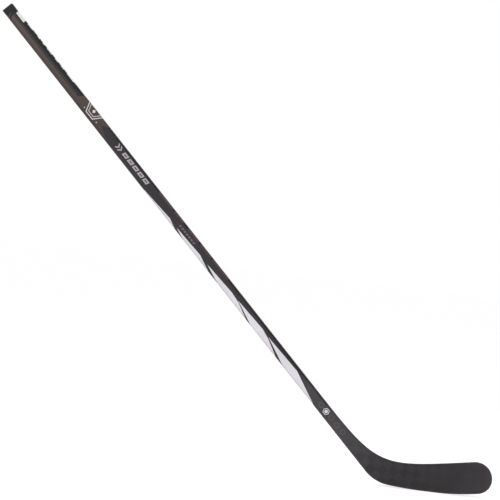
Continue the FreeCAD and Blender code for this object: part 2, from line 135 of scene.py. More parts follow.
room = bpy.data.worlds.new("room")
room.use_nodes = True
scene.world = room
room_tree = room.node_tree
room_tree.nodes.clear()
rays = add_node(room_tree, "LightPath")
room_level = add_node(room_tree, "MapRange", {"Value": rays.outputs["Is Glossy Ray"],
                                              "To Min": ROOM_LIGHT, "To Max": ROOM_IN_GLOSS})
seen_level = add_node(room_tree, "MapRange", {"Value": rays.outputs["Is Camera Ray"],
                                              "To Min": room_level.outputs["Result"], "To Max": ROOM_WHITE})
room_light = add_node(room_tree, "Background", {"Strength": seen_level.outputs["Result"]})
room_light.inputs["Color"].default_value = (1, 1, 1, 1)
add_node(room_tree, "OutputWorld", {"Surface": room_light.outputs["Background"]})

sun_data = bpy.data.lights.new("soft_sun", "SUN")
sun_data.energy = SUN_POWER
sun_data.angle = SUN_SPREAD
sun = bpy.data.objects.new("soft_sun", sun_data)
scene.collection.objects.link(sun)
sun.rotation_euler = SUN_TOWARDS.to_track_quat("-Z", "Y").to_euler()


def soft_box(name, place, size, power):
    """Area light aimed at the middle of the stick, which the camera itself doesn't see."""
    data = bpy.data.lights.new(name, "AREA")
    data.shape = "RECTANGLE"
    data.size, data.size_y = size
    data.energy = power
    box = bpy.data.objects.new(name, data)
    scene.collection.objects.link(box)
    box.location = place
    box.rotation_euler = (stick_middle - Vector(place)).to_track_quat("-Z", "Y").to_euler()
    box.visible_camera = False
    return box


soft_box("top_strip", (stick_middle.x + 0.5, -0.5, 3.0), (2.6, 0.9), 16)
soft_box("left_box", (-2.9, -2.8, 1.9), (1.6, 2.0), 16)
soft_box("back_box", (-0.2, 3.4, 2.2), (2.4, 2.0), 16)

scene.view_settings.view_transform = "Standard"
scene.view_settings.look = "None"

# Shaft tube -----------------------------------------------------------
# Hollow rectangular tube of carbon laminate with rounded long edges, wound on an inflated film and
# moulded hot. It thins towards the blade, and ends in a shallow bed for the wrap over the joint.
STICK_LENGTH = 1.451
SHAFT_WIDTH = 0.0294
SHAFT_THICKNESS = 0.0189
SHAFT_CORNER = 0.0045
SHAFT_WALL = 0.0018
TAPER_HEIGHT = 0.45
JOINT_HEIGHT = 0.2416
HOSEL_THICKNESS = 0.0145
HOSEL_CORNER = 0.002
CAP_LENGTH = 0.0142
WRAP_REACH = 0.015
WRAP_THICKNESS = 0.0006
LAMINATE_BELOW = 0.0001      # the laminate lies this far under the printed films' outer face
LEAST_CORNER = 0.0003        # a corner rounded less than this would fold over itself
SHARP_ANGLE = math.radians(35)

mounts = {mount["name"]: mount for mount in frame["record"]["mounts"]}
up_shaft = Vector(mounts["butt_end"]["axis"]).normalized()
across_shaft = Vector((up_shaft.z, 0, -up_shaft.x))
butt_middle = Vector(mounts["butt_end"]["pos_m"])
heel_corner = butt_middle - up_shaft * STICK_LENGTH - across_shaft * (SHAFT_WIDTH / 2)


def tint(red, green, blue):
    """Linear colour of a display colour given from 0 to 255."""
    return [(c / 255 / 12.92 if c < 10 else ((c / 255 + 0.055) / 1.055) ** 2.4)
            for c in (red, green, blue)] + [1.0]


def shaft_section(height):
    """Half thickness and corner radius of the outer surface at a height above the heel corner."""
    share = max(TAPER_HEIGHT - height, 0) / (TAPER_HEIGHT - JOINT_HEIGHT)
    half = (SHAFT_THICKNESS - (SHAFT_THICKNESS - HOSEL_THICKNESS) * share) / 2
    return half, SHAFT_CORNER - (SHAFT_CORNER - HOSEL_CORNER) * min(share, 1)


def cut(bm, spot, normal, clear=False):
    """Cuts a mesh by a plane; with clear, what lies on the normal's side is taken away."""
    bmesh.ops.bisect_plane(bm, geom=bm.verts[:] + bm.edges[:] + bm.faces[:], dist=1e-7,
                           plane_co=spot, plane_no=normal, clear_outer=clear)


def rounded_off(bm, edges, size, segments):
    """Rounds edges off; returns what the bevel made."""
    return bmesh.ops.bevel(bm, geom=edges, offset=size, segments=segments, profile=0.5,
                           affect="EDGES", material=-1)


def rounded_bar(low, high, cuts=()):
    """Bar from one height to the other, lying along X, with the full section's rounded long edges."""
    bm = bmesh.new()
    bmesh.ops.create_cube(bm, size=1)
    bmesh.ops.scale(bm, vec=(high - low, SHAFT_THICKNESS, SHAFT_WIDTH), verts=bm.verts)
    bmesh.ops.translate(bm, vec=((high + low) / 2, 0, 0), verts=bm.verts)
    long_edges = [e for e in bm.edges if abs(e.verts[0].co.x - e.verts[1].co.x) > (high - low) / 2]
    rounded_off(bm, long_edges, SHAFT_CORNER, 8)
    for height in cuts:
        cut(bm, (height, 0, 0), (1, 0, 0))
    return bm


def along_shaft(height, side_y, side_w):
    """Place of a bar's point once the bar lies along the shaft instead of along X."""
    return (heel_corner + up_shaft * height + across_shaft * (SHAFT_WIDTH / 2 + side_w)
            + Vector((0, side_y, 0)))


def press_bar(bm, inset_at):
    """Gives every section its thickness, corner and depth under the surface, then stands the bar up."""
    for vert in bm.verts:
        half, corner = shaft_section(vert.co.x)
        inset = inset_at(vert.co.x)
        thick = (abs(vert.co.y) - SHAFT_THICKNESS / 2) / SHAFT_CORNER + 1
        wide = (abs(vert.co.z) - SHAFT_WIDTH / 2) / SHAFT_CORNER + 1
        radius = max(corner - inset, LEAST_CORNER)
        side_y = math.copysign(half - inset - radius + thick * radius, vert.co.y)
        side_w = math.copysign(SHAFT_WIDTH / 2 - inset - radius + wide * radius, vert.co.z)
        vert.co = along_shaft(vert.co.x, side_y, side_w)
    bmesh.ops.recalc_face_normals(bm, faces=bm.faces)


def open_ends(bm):
    ends = [f for f in bm.faces if abs(f.normal.dot(up_shaft)) > 0.9]
    bmesh.ops.delete(bm, geom=ends, context="FACES")


def smooth_piece(name, bm, material):
    """Object of a finished bmesh, smooth but for its sharp edges, with flat faces kept flat."""
    mesh = bpy.data.meshes.new(name)
    bm.to_mesh(mesh)
    bm.free()
    mesh.materials.append(material)
    mesh.shade_smooth()
    mesh.set_sharp_from_angle(angle=SHARP_ANGLE)
    piece = bpy.data.objects.new(name, mesh)
    scene.collection.objects.link(piece)
    weights = piece.modifiers.new("flat_faces_lead", "WEIGHTED_NORMAL")
    weights.keep_sharp = True
    return piece


tube_top = STICK_LENGTH - CAP_LENGTH
wrap_end = JOINT_HEIGHT + WRAP_REACH
bed_step = 0.0002
taper_cuts = [0.3, 0.35, 0.4, TAPER_HEIGHT]
straight_cuts = [0.55, 0.7, 0.85, 1.0, 1.15, 1.3]
tube_cuts = [wrap_end, wrap_end + bed_step] + taper_cuts + straight_cuts
tube_bm = rounded_bar(JOINT_HEIGHT, tube_top, tube_cuts)
press_bar(tube_bm, lambda height: WRAP_THICKNESS if height < wrap_end + bed_step / 2 else LAMINATE_BELOW)
open_ends(tube_bm)
bmesh.ops.solidify(tube_bm, geom=tube_bm.faces[:], thickness=SHAFT_WALL - LAMINATE_BELOW)

# Effects that several finishes of the stick share, as node groups


def new_effect(name, inputs, outputs):
    """Empty node group with its sockets; returns the tree, its inputs and its output node."""
    tree = bpy.data.node_groups.new(name, "ShaderNodeTree")
    for socket, kind, value in inputs:
        made = tree.interface.new_socket(name=socket, in_out="INPUT", socket_type="NodeSocket" + kind)
        if value is not None:
            made.default_value = value
    for socket in outputs:
        tree.interface.new_socket(name=socket, in_out="OUTPUT", socket_type="NodeSocketFloat")
    given = tree.nodes.new("NodeGroupInput").outputs
    return tree, given, tree.nodes.new("NodeGroupOutput")


def maths(tree, operation, first, second=0.0, third=0.0, clamp=False):
    node = add_node(tree, "Math", {0: first, 1: second, 2: third}, operation=operation, use_clamp=clamp)
    return node.outputs[0]


def along_axis(tree, place, direction, offset=0.0):
    """Distance of a place along a direction."""
    dot = add_node(tree, "VectorMath", {0: place, 1: direction}, operation="DOT_PRODUCT")
    return maths(tree, "ADD", dot.outputs["Value"], offset)


# Shaft place: height above the heel corner, distance across from the lower edge, how near the place
# is to one of the long rounded edges, and the painted shade line where the upper rounding runs into the
# face.
EDGE_FROM = 0.0104             # off the wide face's middle, the rounded edges begin here
EDGE_TO = 0.0132               # and count in full from here on
SHADE_LINE = 0.0034              # the painted shade line lies this far below the upper edge
SHADE_LINE_HARD = 0.0008         # half its width at full strength
SHADE_LINE_SOFT = 0.0027         # half its width where it has faded out
shaft_place, given, put = new_effect("shaft_place", [("Place", "Vector", None)],
                                     ["Height", "Across", "Near Edge", "Painted Shade Line"])
height = along_axis(shaft_place, given["Place"], up_shaft, -heel_corner.dot(up_shaft))
across = along_axis(shaft_place, given["Place"], across_shaft, -heel_corner.dot(across_shaft))
off_middle = maths(shaft_place, "ABSOLUTE", maths(shaft_place, "SUBTRACT", across, SHAFT_WIDTH / 2))
near_edge = add_node(shaft_place, "MapRange", {"Value": off_middle, "From Min": EDGE_FROM,
                                               "From Max": EDGE_TO}, interpolation_type="SMOOTHSTEP")
shaft_place.links.new(height, put.inputs["Height"])
shaft_place.links.new(across, put.inputs["Across"])
shaft_place.links.new(near_edge.outputs["Result"], put.inputs["Near Edge"])
# A painted dark line stands in for the shade and dark reflection along the upper rounding.
off_shade_line = maths(shaft_place, "ABSOLUTE", maths(shaft_place, "SUBTRACT", across, SHAFT_WIDTH - SHADE_LINE))
painted_shade_line = add_node(shaft_place, "MapRange", {"Value": off_shade_line, "From Min": SHADE_LINE_SOFT,
                                              "From Max": SHADE_LINE_HARD}, interpolation_type="SMOOTHSTEP")
shaft_place.links.new(painted_shade_line.outputs["Result"], put.inputs["Painted Shade Line"])

# Fibre streaks: long thin light and dark lines of carbon filaments.
fibre_streaks, given, put = new_effect(
    "fibre_streaks", [("Place", "Vector", None), ("Direction", "Vector", (1, 0, 0)),
                      ("Length Scale", "Float", 14.0), ("Width Scale", "Float", 1400.0)], ["Streaks"])
run = add_node(fibre_streaks, "VectorMath", {0: given["Place"], 1: given["Direction"]},
               operation="DOT_PRODUCT")
lengthwise = add_node(fibre_streaks, "VectorMath", {0: given["Direction"], "Scale": run.outputs["Value"]},
                      operation="SCALE")
sideways = add_node(fibre_streaks, "VectorMath", {0: given["Place"], 1: lengthwise.outputs[0]},
                    operation="SUBTRACT")
long_part = add_node(fibre_streaks, "VectorMath", {0: lengthwise.outputs[0], "Scale": given["Length Scale"]},
                     operation="SCALE")
wide_part = add_node(fibre_streaks, "VectorMath", {0: sideways.outputs[0], "Scale": given["Width Scale"]},
                     operation="SCALE")
stretched = add_node(fibre_streaks, "VectorMath", {0: long_part.outputs[0], 1: wide_part.outputs[0]},
                     operation="ADD")
filaments = add_node(fibre_streaks, "TexNoise", {"Vector": stretched.outputs[0], "Scale": 1.0, "Detail": 4.0,
                                                 "Roughness": 0.6})
streak_range = add_node(fibre_streaks, "MapRange", {"Value": filaments.outputs["Fac"], "From Min": 0.3,
                                                    "From Max": 0.7})
fibre_streaks.links.new(streak_range.outputs["Result"], put.inputs["Streaks"])

# Lacquer: the slight orange peel of a sprayed clear coat, broad uneven tone and a few dust specks.
PEEL_DEPTH = 0.000006
lacquer, given, put = new_effect(
    "lacquer", [("Place", "Vector", None), ("Peel Scale", "Float", 900.0), ("Dust", "Float", 0.3)],
    ["Peel", "Uneven", "Dust"])
peel = add_node(lacquer, "TexNoise", {"Vector": given["Place"], "Scale": given["Peel Scale"], "Detail": 2.0})
broad = add_node(lacquer, "TexNoise", {"Vector": given["Place"], "Scale": 22.0, "Detail": 3.0,
                                       "Roughness": 0.55})
specks = add_node(lacquer, "TexVoronoi", {"Vector": given["Place"], "Scale": 420.0})
speck = add_node(lacquer, "MapRange", {"Value": specks.outputs["Distance"], "From Min": 0.10,
                                       "From Max": 0.04, "To Min": 0.0, "To Max": given["Dust"]})
lacquer.links.new(peel.outputs["Fac"], put.inputs["Peel"])
lacquer.links.new(broad.outputs["Fac"], put.inputs["Uneven"])
lacquer.links.new(speck.outputs["Result"], put.inputs["Dust"])

# Broken edge: broken patches that start at an edge and die out away from it, used for wear, and on
# the shaft, wrap and blade for lighter edges that are partly a painted highlight.
broken_edge, given, put = new_effect(
    "broken_edge", [("Place", "Vector", None), ("Near Edge", "Float", 0.0), ("Amount", "Float", 0.5),
                    ("Grain Scale", "Float", 260.0)], ["Worn"])
grain = add_node(broken_edge, "TexNoise", {"Vector": given["Place"], "Scale": given["Grain Scale"],
                                           "Detail": 5.0, "Roughness": 0.7})
reach = maths(broken_edge, "MULTIPLY", given["Near Edge"], given["Amount"])
rubbed = add_node(broken_edge, "MapRange", {"Value": maths(broken_edge, "ADD", grain.outputs["Fac"], reach),
                                            "From Min": 0.72, "From Max": 1.08},
                  interpolation_type="SMOOTHSTEP")
broken_edge.links.new(maths(broken_edge, "MULTIPLY", rubbed.outputs["Result"], given["Near Edge"]),
                      put.inputs["Worn"])


def effect(tree, group, **inputs):
    """Places an effect in a material; underscores in the names of its inputs stand for spaces."""
    node = tree.nodes.new("ShaderNodeGroup")
    node.node_tree = group
    for name, value in inputs.items():
        socket = node.inputs[name.replace("_", " ")]
        if isinstance(value, bpy.types.NodeSocket):
            tree.links.new(value, socket)
        else:
            socket.default_value = value
    return node.outputs


def new_finish(name, **plain):
    """Material with a Principled shader whose plain values are given; returns it, its tree, its
    shader and the place on the piece."""
    material = bpy.data.materials.new(name)
    material.use_nodes = True
    tree = material.node_tree
    shader = tree.nodes["Principled BSDF"]
    for socket, value in plain.items():
        shader.inputs[socket.replace("_", " ")].default_value = value
    place = add_node(tree, "TexCoord").outputs["Object"]
    return material, tree, shader, place


def blended(tree, factor, first, second):
    """Mix of two colours, each a value or a socket."""
    node = tree.nodes.new("ShaderNodeMix")
    node.data_type = "RGBA"
    for socket, value in ((node.inputs[0], factor), (node.inputs[6], first), (node.inputs[7], second)):
        if isinstance(value, bpy.types.NodeSocket):
            tree.links.new(value, socket)
        else:
            socket.default_value = value
    return node.outputs[2]


def ranged(tree, value, low, high, from_low=0.0, from_high=1.0):
    node = add_node(tree, "MapRange", {"Value": value, "From Min": from_low, "From Max": from_high,
                                       "To Min": low, "To Max": high})
    return node.outputs["Result"]


def surfaced(tree, shader, colour, tone, roughness, relief, depth=PEEL_DEPTH):
    """Joins a shader up: its colour, its roughness at the two ends of a tone, and a relief in metres."""
    tree.links.new(colour, shader.inputs["Base Color"])
    tree.links.new(ranged(tree, tone, *roughness), shader.inputs["Roughness"])
    bump = add_node(tree, "Bump", {"Height": relief, "Distance": depth})
    tree.links.new(bump.outputs["Normal"], shader.inputs["Normal"])


def dress(material, *nodes):
    """Gives CAD nodes that are kept as they are a material of their own."""
    for node in nodes:
        frame["nodes"][node].material_slots[0].material = material


SHAFT_DARK = tint(44, 41, 46)
SHAFT_LIGHT = tint(60, 56, 62)
SHAFT_WEAR_AND_HIGHLIGHT = tint(92, 86, 93)
GRIP_DARK = tint(16, 13, 17)
GRIP_INK = (1.1, 1.2)          # heights between which the grip's darker ink comes in
FLAME_INK = (0.38, 0.46)       # and where the darker ink of the lower end fades out
BARE_CLOTH = (0.285, 0.335)    # the bare cloth of the hosel fades into the inked shaft here
PAINTED_LINE_SHADE = tint(9, 7, 9)
HOSEL_DARK = tint(58, 54, 58)
HOSEL_LIGHT = tint(84, 79, 84)

shaft_laminate, tree, shader, place = new_finish("shaft_laminate", Specular_IOR_Level=0.45)
where = effect(tree, shaft_place, Place=place)
streaks = effect(tree, fibre_streaks, Place=place, Direction=up_shaft, Length_Scale=9.0, Width_Scale=1100.0)
coat = effect(tree, lacquer, Place=place, Dust=0.25)
edge_patches = effect(tree, broken_edge, Place=place, Near_Edge=where["Near Edge"], Amount=0.42)
tone = maths(tree, "MULTIPLY_ADD", streaks["Streaks"], 0.6, maths(tree, "MULTIPLY", coat["Uneven"], 0.4))
colour = blended(tree, tone, SHAFT_DARK, SHAFT_LIGHT)
ink = maths(tree, "ADD", ranged(tree, where["Height"], 0.0, 0.6, *GRIP_INK),
            ranged(tree, where["Height"], 0.4, 0.0, *FLAME_INK))
colour = blended(tree, ink, colour, GRIP_DARK)
bare = ranged(tree, where["Height"], 1.0, 0.0, *BARE_CLOTH)
colour = blended(tree, bare, colour, blended(tree, tone, HOSEL_DARK, HOSEL_LIGHT))
# Painted shade: a dark line just under the upper edge, standing in for the dark reflection on the rounding.
colour = blended(tree, maths(tree, "MULTIPLY", where["Painted Shade Line"], 0.9), colour, PAINTED_LINE_SHADE)
# Lighter broken edges: partly wear, partly a painted highlight where the rounded edges catch the light.
colour = blended(tree, edge_patches["Worn"], colour, SHAFT_WEAR_AND_HIGHLIGHT)
colour = blended(tree, coat["Dust"], colour, tint(120, 116, 120))
surfaced(tree, shader, colour, tone, (0.36, 0.5), maths(tree, "ADD", coat["Peel"], streaks["Streaks"]))

shaft = smooth_piece("shaft", tube_bm, shaft_laminate)
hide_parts("shaft_tube")
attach(shaft, "root")

# Butt cap -------------------------------------------------------------
# Moulded plastic plug that closes the butt: a low rounded head as wide as the shaft, and a hollow
# spigot that is set into the tube with hot-melt glue.
CAP_EDGE = 0.0024
CAP_SPIGOT = 0.03
CAP_WALL = 0.0016
CAP_FIT = 0.00205
CAP_PARTING = 0.00025

cap_bm = rounded_bar(tube_top, STICK_LENGTH)
rim_edges = [e for e in cap_bm.edges if min(v.co.x for v in e.verts) > STICK_LENGTH - 1e-6]
rounded_off(cap_bm, rim_edges, CAP_EDGE, 7)
seat_edges = [e for e in cap_bm.edges if max(v.co.x for v in e.verts) < tube_top + 1e-6]
rounded_off(cap_bm, seat_edges, CAP_PARTING, 2)
seat = min(cap_bm.faces, key=lambda f: f.calc_center_median().x)
for inward, depth in ((CAP_FIT, -CAP_SPIGOT), (CAP_WALL, CAP_SPIGOT)):
    bmesh.ops.inset_region(cap_bm, faces=[seat], thickness=inward, use_even_offset=True)
    seat = bmesh.ops.extrude_discrete_faces(cap_bm, faces=[seat])["faces"][0]
    bmesh.ops.translate(cap_bm, vec=(depth, 0, 0), verts=seat.verts)
for vert in cap_bm.verts:
    vert.co = along_shaft(vert.co.x, vert.co.y, vert.co.z)
bmesh.ops.recalc_face_normals(cap_bm, faces=cap_bm.faces)

cap_plastic, tree, shader, place = new_finish("cap_plastic", Specular_IOR_Level=0.4)
pebble = add_node(tree, "TexVoronoi", {"Vector": place, "Scale": 1500.0}, feature="SMOOTH_F1")
coat = effect(tree, lacquer, Place=place, Peel_Scale=2400.0, Dust=0.2)
colour = blended(tree, coat["Uneven"], tint(30, 26, 31), tint(44, 39, 45))
colour = blended(tree, coat["Dust"], colour, tint(110, 106, 110))
surfaced(tree, shader, colour, coat["Uneven"], (0.5, 0.68),
         maths(tree, "ADD", pebble.outputs["Distance"], coat["Peel"]), 0.00002)

cap = smooth_piece("plug", cap_bm, cap_plastic)
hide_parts("butt_cap")
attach(cap, "root")

# Wrap over the joint --------------------------------------------------
# Sleeve of thin carbon cloth fused over the joint of shaft and blade, then sanded flush, so that it
# shows only as a slight change in the lie of the fibres.
wrap_low = JOINT_HEIGHT - WRAP_REACH
wrap_bm = rounded_bar(wrap_low, wrap_end, [JOINT_HEIGHT])
press_bar(wrap_bm, lambda height: LAMINATE_BELOW)
open_ends(wrap_bm)
bmesh.ops.solidify(wrap_bm, geom=wrap_bm.faces[:], thickness=WRAP_THICKNESS - LAMINATE_BELOW)

wrap_laminate, tree, shader, place = new_finish("wrap_laminate", Specular_IOR_Level=0.45)
where = effect(tree, shaft_place, Place=place)
one_way = effect(tree, fibre_streaks, Place=place, Direction=(1, 0, 0), Length_Scale=60.0,
                 Width_Scale=1500.0)
other_way = effect(tree, fibre_streaks, Place=place, Direction=(0, 0, 1), Length_Scale=60.0,
                   Width_Scale=1500.0)
coat = effect(tree, lacquer, Place=place, Dust=0.2)
edge_patches = effect(tree, broken_edge, Place=place, Near_Edge=where["Near Edge"], Amount=0.42)
weave = add_node(tree, "TexChecker", {"Vector": place, "Scale": 520.0, "Color1": (0, 0, 0, 1),
                                      "Color2": (1, 1, 1, 1)})
cloth = blended(tree, weave.outputs["Fac"], one_way["Streaks"], other_way["Streaks"])
colour = blended(tree, cloth, HOSEL_DARK, HOSEL_LIGHT)
# Painted shade: a dark line just under the upper edge, standing in for the dark reflection on the rounding.
colour = blended(tree, maths(tree, "MULTIPLY", where["Painted Shade Line"], 0.9), colour, PAINTED_LINE_SHADE)
# Lighter broken edges: partly wear, partly a painted highlight where the rounded edges catch the light.
colour = blended(tree, edge_patches["Worn"], colour, SHAFT_WEAR_AND_HIGHLIGHT)
surfaced(tree, shader, colour, coat["Uneven"], (0.36, 0.5),
         maths(tree, "ADD", coat["Peel"], weave.outputs["Fac"]))

wrap = smooth_piece("joint_wrap", wrap_bm, wrap_laminate)
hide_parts("hosel_wrap")
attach(wrap, "root")

# Blade ----------------------------------------------------------------
# Two carbon skins over a rim band and foam cores, pressed in one mould with the hosel. The blank is
# drawn flat, its edges are rounded, it is parted into skin, rim and skin, and pressed into the hook.
BLADE_HEIGHT = 0.0675
TOP_SLOPE = math.radians(9.6)
TOE_REACH = 0.1437
TOE_RADIUS = 0.0356
FLAT_HALF = 0.012
HEEL_ROCKER = 0.967
TOE_ROCKER = 0.575
HEEL_RADIUS = 0.096
THROAT_SHAFT = 0.197
THROAT_BLADE = 0.18
THROAT_TIGHT = 0.012
FAN_X = heel_corner.x * 0.47   # the sections are upright from here to the toe
FAN_START = 0.11               # the sections are square to the shaft above this height
FAN_PART = 0.6                 # share of the way from joint to heel at which the fan starts
SHAPE_MARGIN = 0.012           # the sections reach this far past the outline
END_PAST_TOE = 0.008           # the last section lies this far past the toe
HOOK_POWER = 1.8               # how late along the blade the hook sets in
THINNING_POWER = 0.8           # how soon the blade thins
STATION_HEIGHTS = [0.238 - 0.008 * n for n in range(16)]
FAN_STATIONS = 16
UPRIGHT_STEP = 0.0055
UPRIGHT_STATIONS = 37
THICK_HEEL = 0.0084
THICK_TOE = 0.0052
TOP_THINNING = 0.0008
CURVE_DEPTH = 0.0154
FACE_OPENING = 0.006
SKIN = 0.001
RIM_WIDTH = 0.004
BLANK_HALF = 0.004
EDGE_ROUND = 0.002


def flat(x, z):
    return Vector((x, 0, z))


def shaft_spot(height, across):
    return heel_corner + up_shaft * height + across_shaft * across


def nested_centre(base, along, outer_centre, gap):
    """Point on a line, at a given distance from another centre, on the line's far side."""
    offset = base - outer_centre
    half = offset.dot(along)
    return base + along * (-half + math.sqrt(half * half - offset.length_squared + gap * gap))


def angle_from(outer_centre, centre):
    """Direction from one centre to the next in the XZ plane, from +X towards +Z."""
    return math.atan2(centre.z - outer_centre.z, centre.x - outer_centre.x)


def drawn_outline():
    """Closed outline of hosel and blade in the XZ plane, filled with one face."""
    bm = bmesh.new()
    here = bm.verts.new(shaft_spot(JOINT_HEIGHT, 0))
    first = here

    def straight_to(point):
        step = bmesh.ops.extrude_vert_indiv(bm, verts=[here])["verts"][0]
        step.co = point
        return step

    def arc_round(centre, turn, steps):
        spun = bmesh.ops.spin(bm, geom=[here], cent=centre, axis=(0, -1, 0), angle=turn, steps=steps)
        return next(g for g in spun["geom_last"] if isinstance(g, bmesh.types.BMVert))

    back = flat(-FLAT_HALF, HEEL_ROCKER)
    heel = nested_centre(shaft_spot(0, HEEL_RADIUS), -up_shaft, back, HEEL_ROCKER - HEEL_RADIUS)
    front = flat(FLAT_HALF, TOE_ROCKER)
    toe = nested_centre(flat(TOE_REACH - TOE_RADIUS, BLADE_HEIGHT), flat(0, -1), front,
                        TOE_ROCKER - TOE_RADIUS)
    nose = BLADE_HEIGHT + TOE_REACH * math.tan(TOP_SLOPE) - toe.z
    nose /= math.tan((math.pi / 2 + TOP_SLOPE) / 2)
    heel_turn = angle_from(back, heel) + math.radians(135)
    toe_turn = angle_from(front, toe) + math.pi / 2
    here = straight_to(heel - across_shaft * HEEL_RADIUS)
    here = arc_round(heel, heel_turn, 16)
    here = arc_round(back, math.pi / 4 - heel_turn, 8)
    here = straight_to(flat(FLAT_HALF, 0))
    here = arc_round(front, toe_turn, 9)
    here = arc_round(toe, math.pi / 2 - toe_turn, 18)
    here = arc_round(flat(TOE_REACH - nose, toe.z), math.pi / 2 + TOP_SLOPE, 22)
    along_top = flat(-math.cos(TOP_SLOPE), -math.sin(TOP_SLOPE))
    upper = shaft_spot(0, SHAFT_WIDTH)
    gap = upper - flat(0, BLADE_HEIGHT)
    corner = upper - up_shaft * (gap.cross(along_top).y / up_shaft.cross(along_top).y)
    for point in interpolate_bezier(corner - along_top * THROAT_BLADE, corner - along_top * THROAT_TIGHT,
                                    corner + up_shaft * THROAT_TIGHT, corner + up_shaft * THROAT_SHAFT, 40):
        here = straight_to(point)
    here = straight_to(shaft_spot(JOINT_HEIGHT, SHAFT_WIDTH))
    bm.edges.new((here, first))
    bmesh.ops.contextual_create(bm, geom=bm.edges[:])
    return bm


def spot_key(vert):
    return round(vert.co.x, 6), round(vert.co.z, 6)


def height_of(vert):
    return (vert.co - heel_corner).dot(up_shaft)


def parted_blank(low_side, high_side, hollow=False):
    """Part of the flat blank between two levels along Y, closed on every side; None is the face.
    The blank has the outline's edges rounded. A hollow one is only the band along the outline."""
    bm = drawn_outline()
    outline = {spot_key(vert) for vert in bm.verts}
    plate = bm.faces[:]
    bmesh.ops.inset_region(bm, faces=plate, thickness=RIM_WIDTH, use_boundary=True, use_even_offset=True)
    if hollow:
        # No band lies along the joint itself, where the hosel meets the tube.
        near_joint = JOINT_HEIGHT - 1.5 * RIM_WIDTH
        across_joint = [f for f in bm.faces if min(height_of(v) for v in f.verts) > near_joint]
        bmesh.ops.delete(bm, geom=plate + across_joint, context="FACES")
    else:
        bmesh.ops.inset_region(bm, faces=plate, thickness=RIM_WIDTH, use_boundary=True, use_even_offset=True)
    bmesh.ops.translate(bm, vec=(0, -BLANK_HALF, 0), verts=bm.verts)
    raised = bmesh.ops.extrude_face_region(bm, geom=bm.faces[:], use_keep_orig=True)["geom"]
    bmesh.ops.translate(bm, vec=(0, 2 * BLANK_HALF, 0),
                        verts=[g for g in raised if isinstance(g, bmesh.types.BMVert)])
    near_edge = bm.verts.layers.float.new("near_edge")
    for vert in bm.verts:
        vert[near_edge] = float(spot_key(vert) in outline)
    to_round = [e for e in bm.edges if min(v[near_edge] for v in e.verts) > 0
                and abs(e.verts[0].co.y - e.verts[1].co.y) < BLANK_HALF
                and min(height_of(v) for v in e.verts) < JOINT_HEIGHT - 0.00001]
    for vert in rounded_off(bm, to_round, EDGE_ROUND, 6)["verts"]:
        vert[near_edge] = 1.0
    for level, side in ((low_side, 1), (high_side, -1)):
        if level is None:
            continue
        cut(bm, (0, level, 0), (0, -side, 0), clear=True)
        bmesh.ops.holes_fill(bm, edges=[e for e in bm.edges if e.is_boundary], sides=0)
    bmesh.ops.recalc_face_normals(bm, faces=bm.faces)
    return bm


fan_top = shaft_spot(FAN_START, 0)
fan_hub = flat(FAN_X, fan_top.z - (fan_top.x - FAN_X))
fan_reach_low = (shaft_spot(FAN_START, -SHAPE_MARGIN) - fan_hub).length
fan_reach_up = (shaft_spot(FAN_START, SHAFT_WIDTH + SHAPE_MARGIN) - fan_hub).length
BLADE_END = TOE_REACH + END_PAST_TOE


def blade_station(spot):
    """Share of the way along the blade (0 at the joint, 1 at the heel, 2 at the toe), and share of
    the way up from the line under the lower edge to the line over the upper edge."""
    up = (spot - heel_corner).dot(up_shaft)
    if up >= FAN_START:
        share = FAN_PART * (JOINT_HEIGHT - up) / (JOINT_HEIGHT - FAN_START)
        rise = ((spot - heel_corner).dot(across_shaft) + SHAPE_MARGIN) / (SHAFT_WIDTH + 2 * SHAPE_MARGIN)
        return share, rise
    if spot.x < FAN_X:
        arm = fan_hub - spot
        part = 1 - math.atan2(arm.x, arm.z) / math.radians(45)
        reach_low = fan_reach_low + (fan_hub.z + SHAPE_MARGIN - fan_reach_low) * part
        reach_up = fan_reach_up + (fan_hub.z - BLADE_HEIGHT - SHAPE_MARGIN - fan_reach_up) * part
        return FAN_PART + (1 - FAN_PART) * part, (reach_low - arm.length) / (reach_low - reach_up)
    share = 1 + (spot.x - FAN_X) / (BLADE_END - FAN_X)
    top = BLADE_HEIGHT + SHAPE_MARGIN + max(spot.x, 0) * math.tan(TOP_SLOPE)
    return share, (spot.z + SHAPE_MARGIN) / (top + SHAPE_MARGIN)


def press_blade(bm):
    """Cuts the flat part across into stations and gives it the thickness, hook and opening."""
    cuts = [(shaft_spot(height, 0), up_shaft) for height in STATION_HEIGHTS]
    for n in range(FAN_STATIONS):
        angle = math.radians(45 * n / FAN_STATIONS)
        cuts.append((fan_hub, flat(-math.cos(angle), math.sin(angle))))
    cuts += [(flat(FAN_X + UPRIGHT_STEP * n, 0), flat(-1, 0)) for n in range(UPRIGHT_STATIONS)]
    for spot, square_to in cuts:
        cut(bm, spot, square_to)
    for vert in bm.verts:
        share, rise = blade_station(vert.co)
        if share < 1:
            half = (HOSEL_THICKNESS + (THICK_HEEL - HOSEL_THICKNESS) * share) / 2
        else:
            half = (THICK_HEEL + (THICK_TOE - THICK_HEEL) * (share - 1) ** THINNING_POWER) / 2
        half -= TOP_THINNING / 2 * min(share, 1) * rise
        hook = max(share - 1, 0) ** HOOK_POWER
        middle = (FACE_OPENING * rise - CURVE_DEPTH) * hook
        depth = BLANK_HALF - abs(vert.co.y) + LAMINATE_BELOW
        vert.co.y = middle + math.copysign(half - depth, vert.co.y)


forehand_bm = parted_blank(None, SKIN - BLANK_HALF)
backhand_bm = parted_blank(BLANK_HALF - SKIN, None)
rim_bm = parted_blank(SKIN - BLANK_HALF, BLANK_HALF - SKIN, hollow=True)
for part in (forehand_bm, backhand_bm, rim_bm):
    press_blade(part)

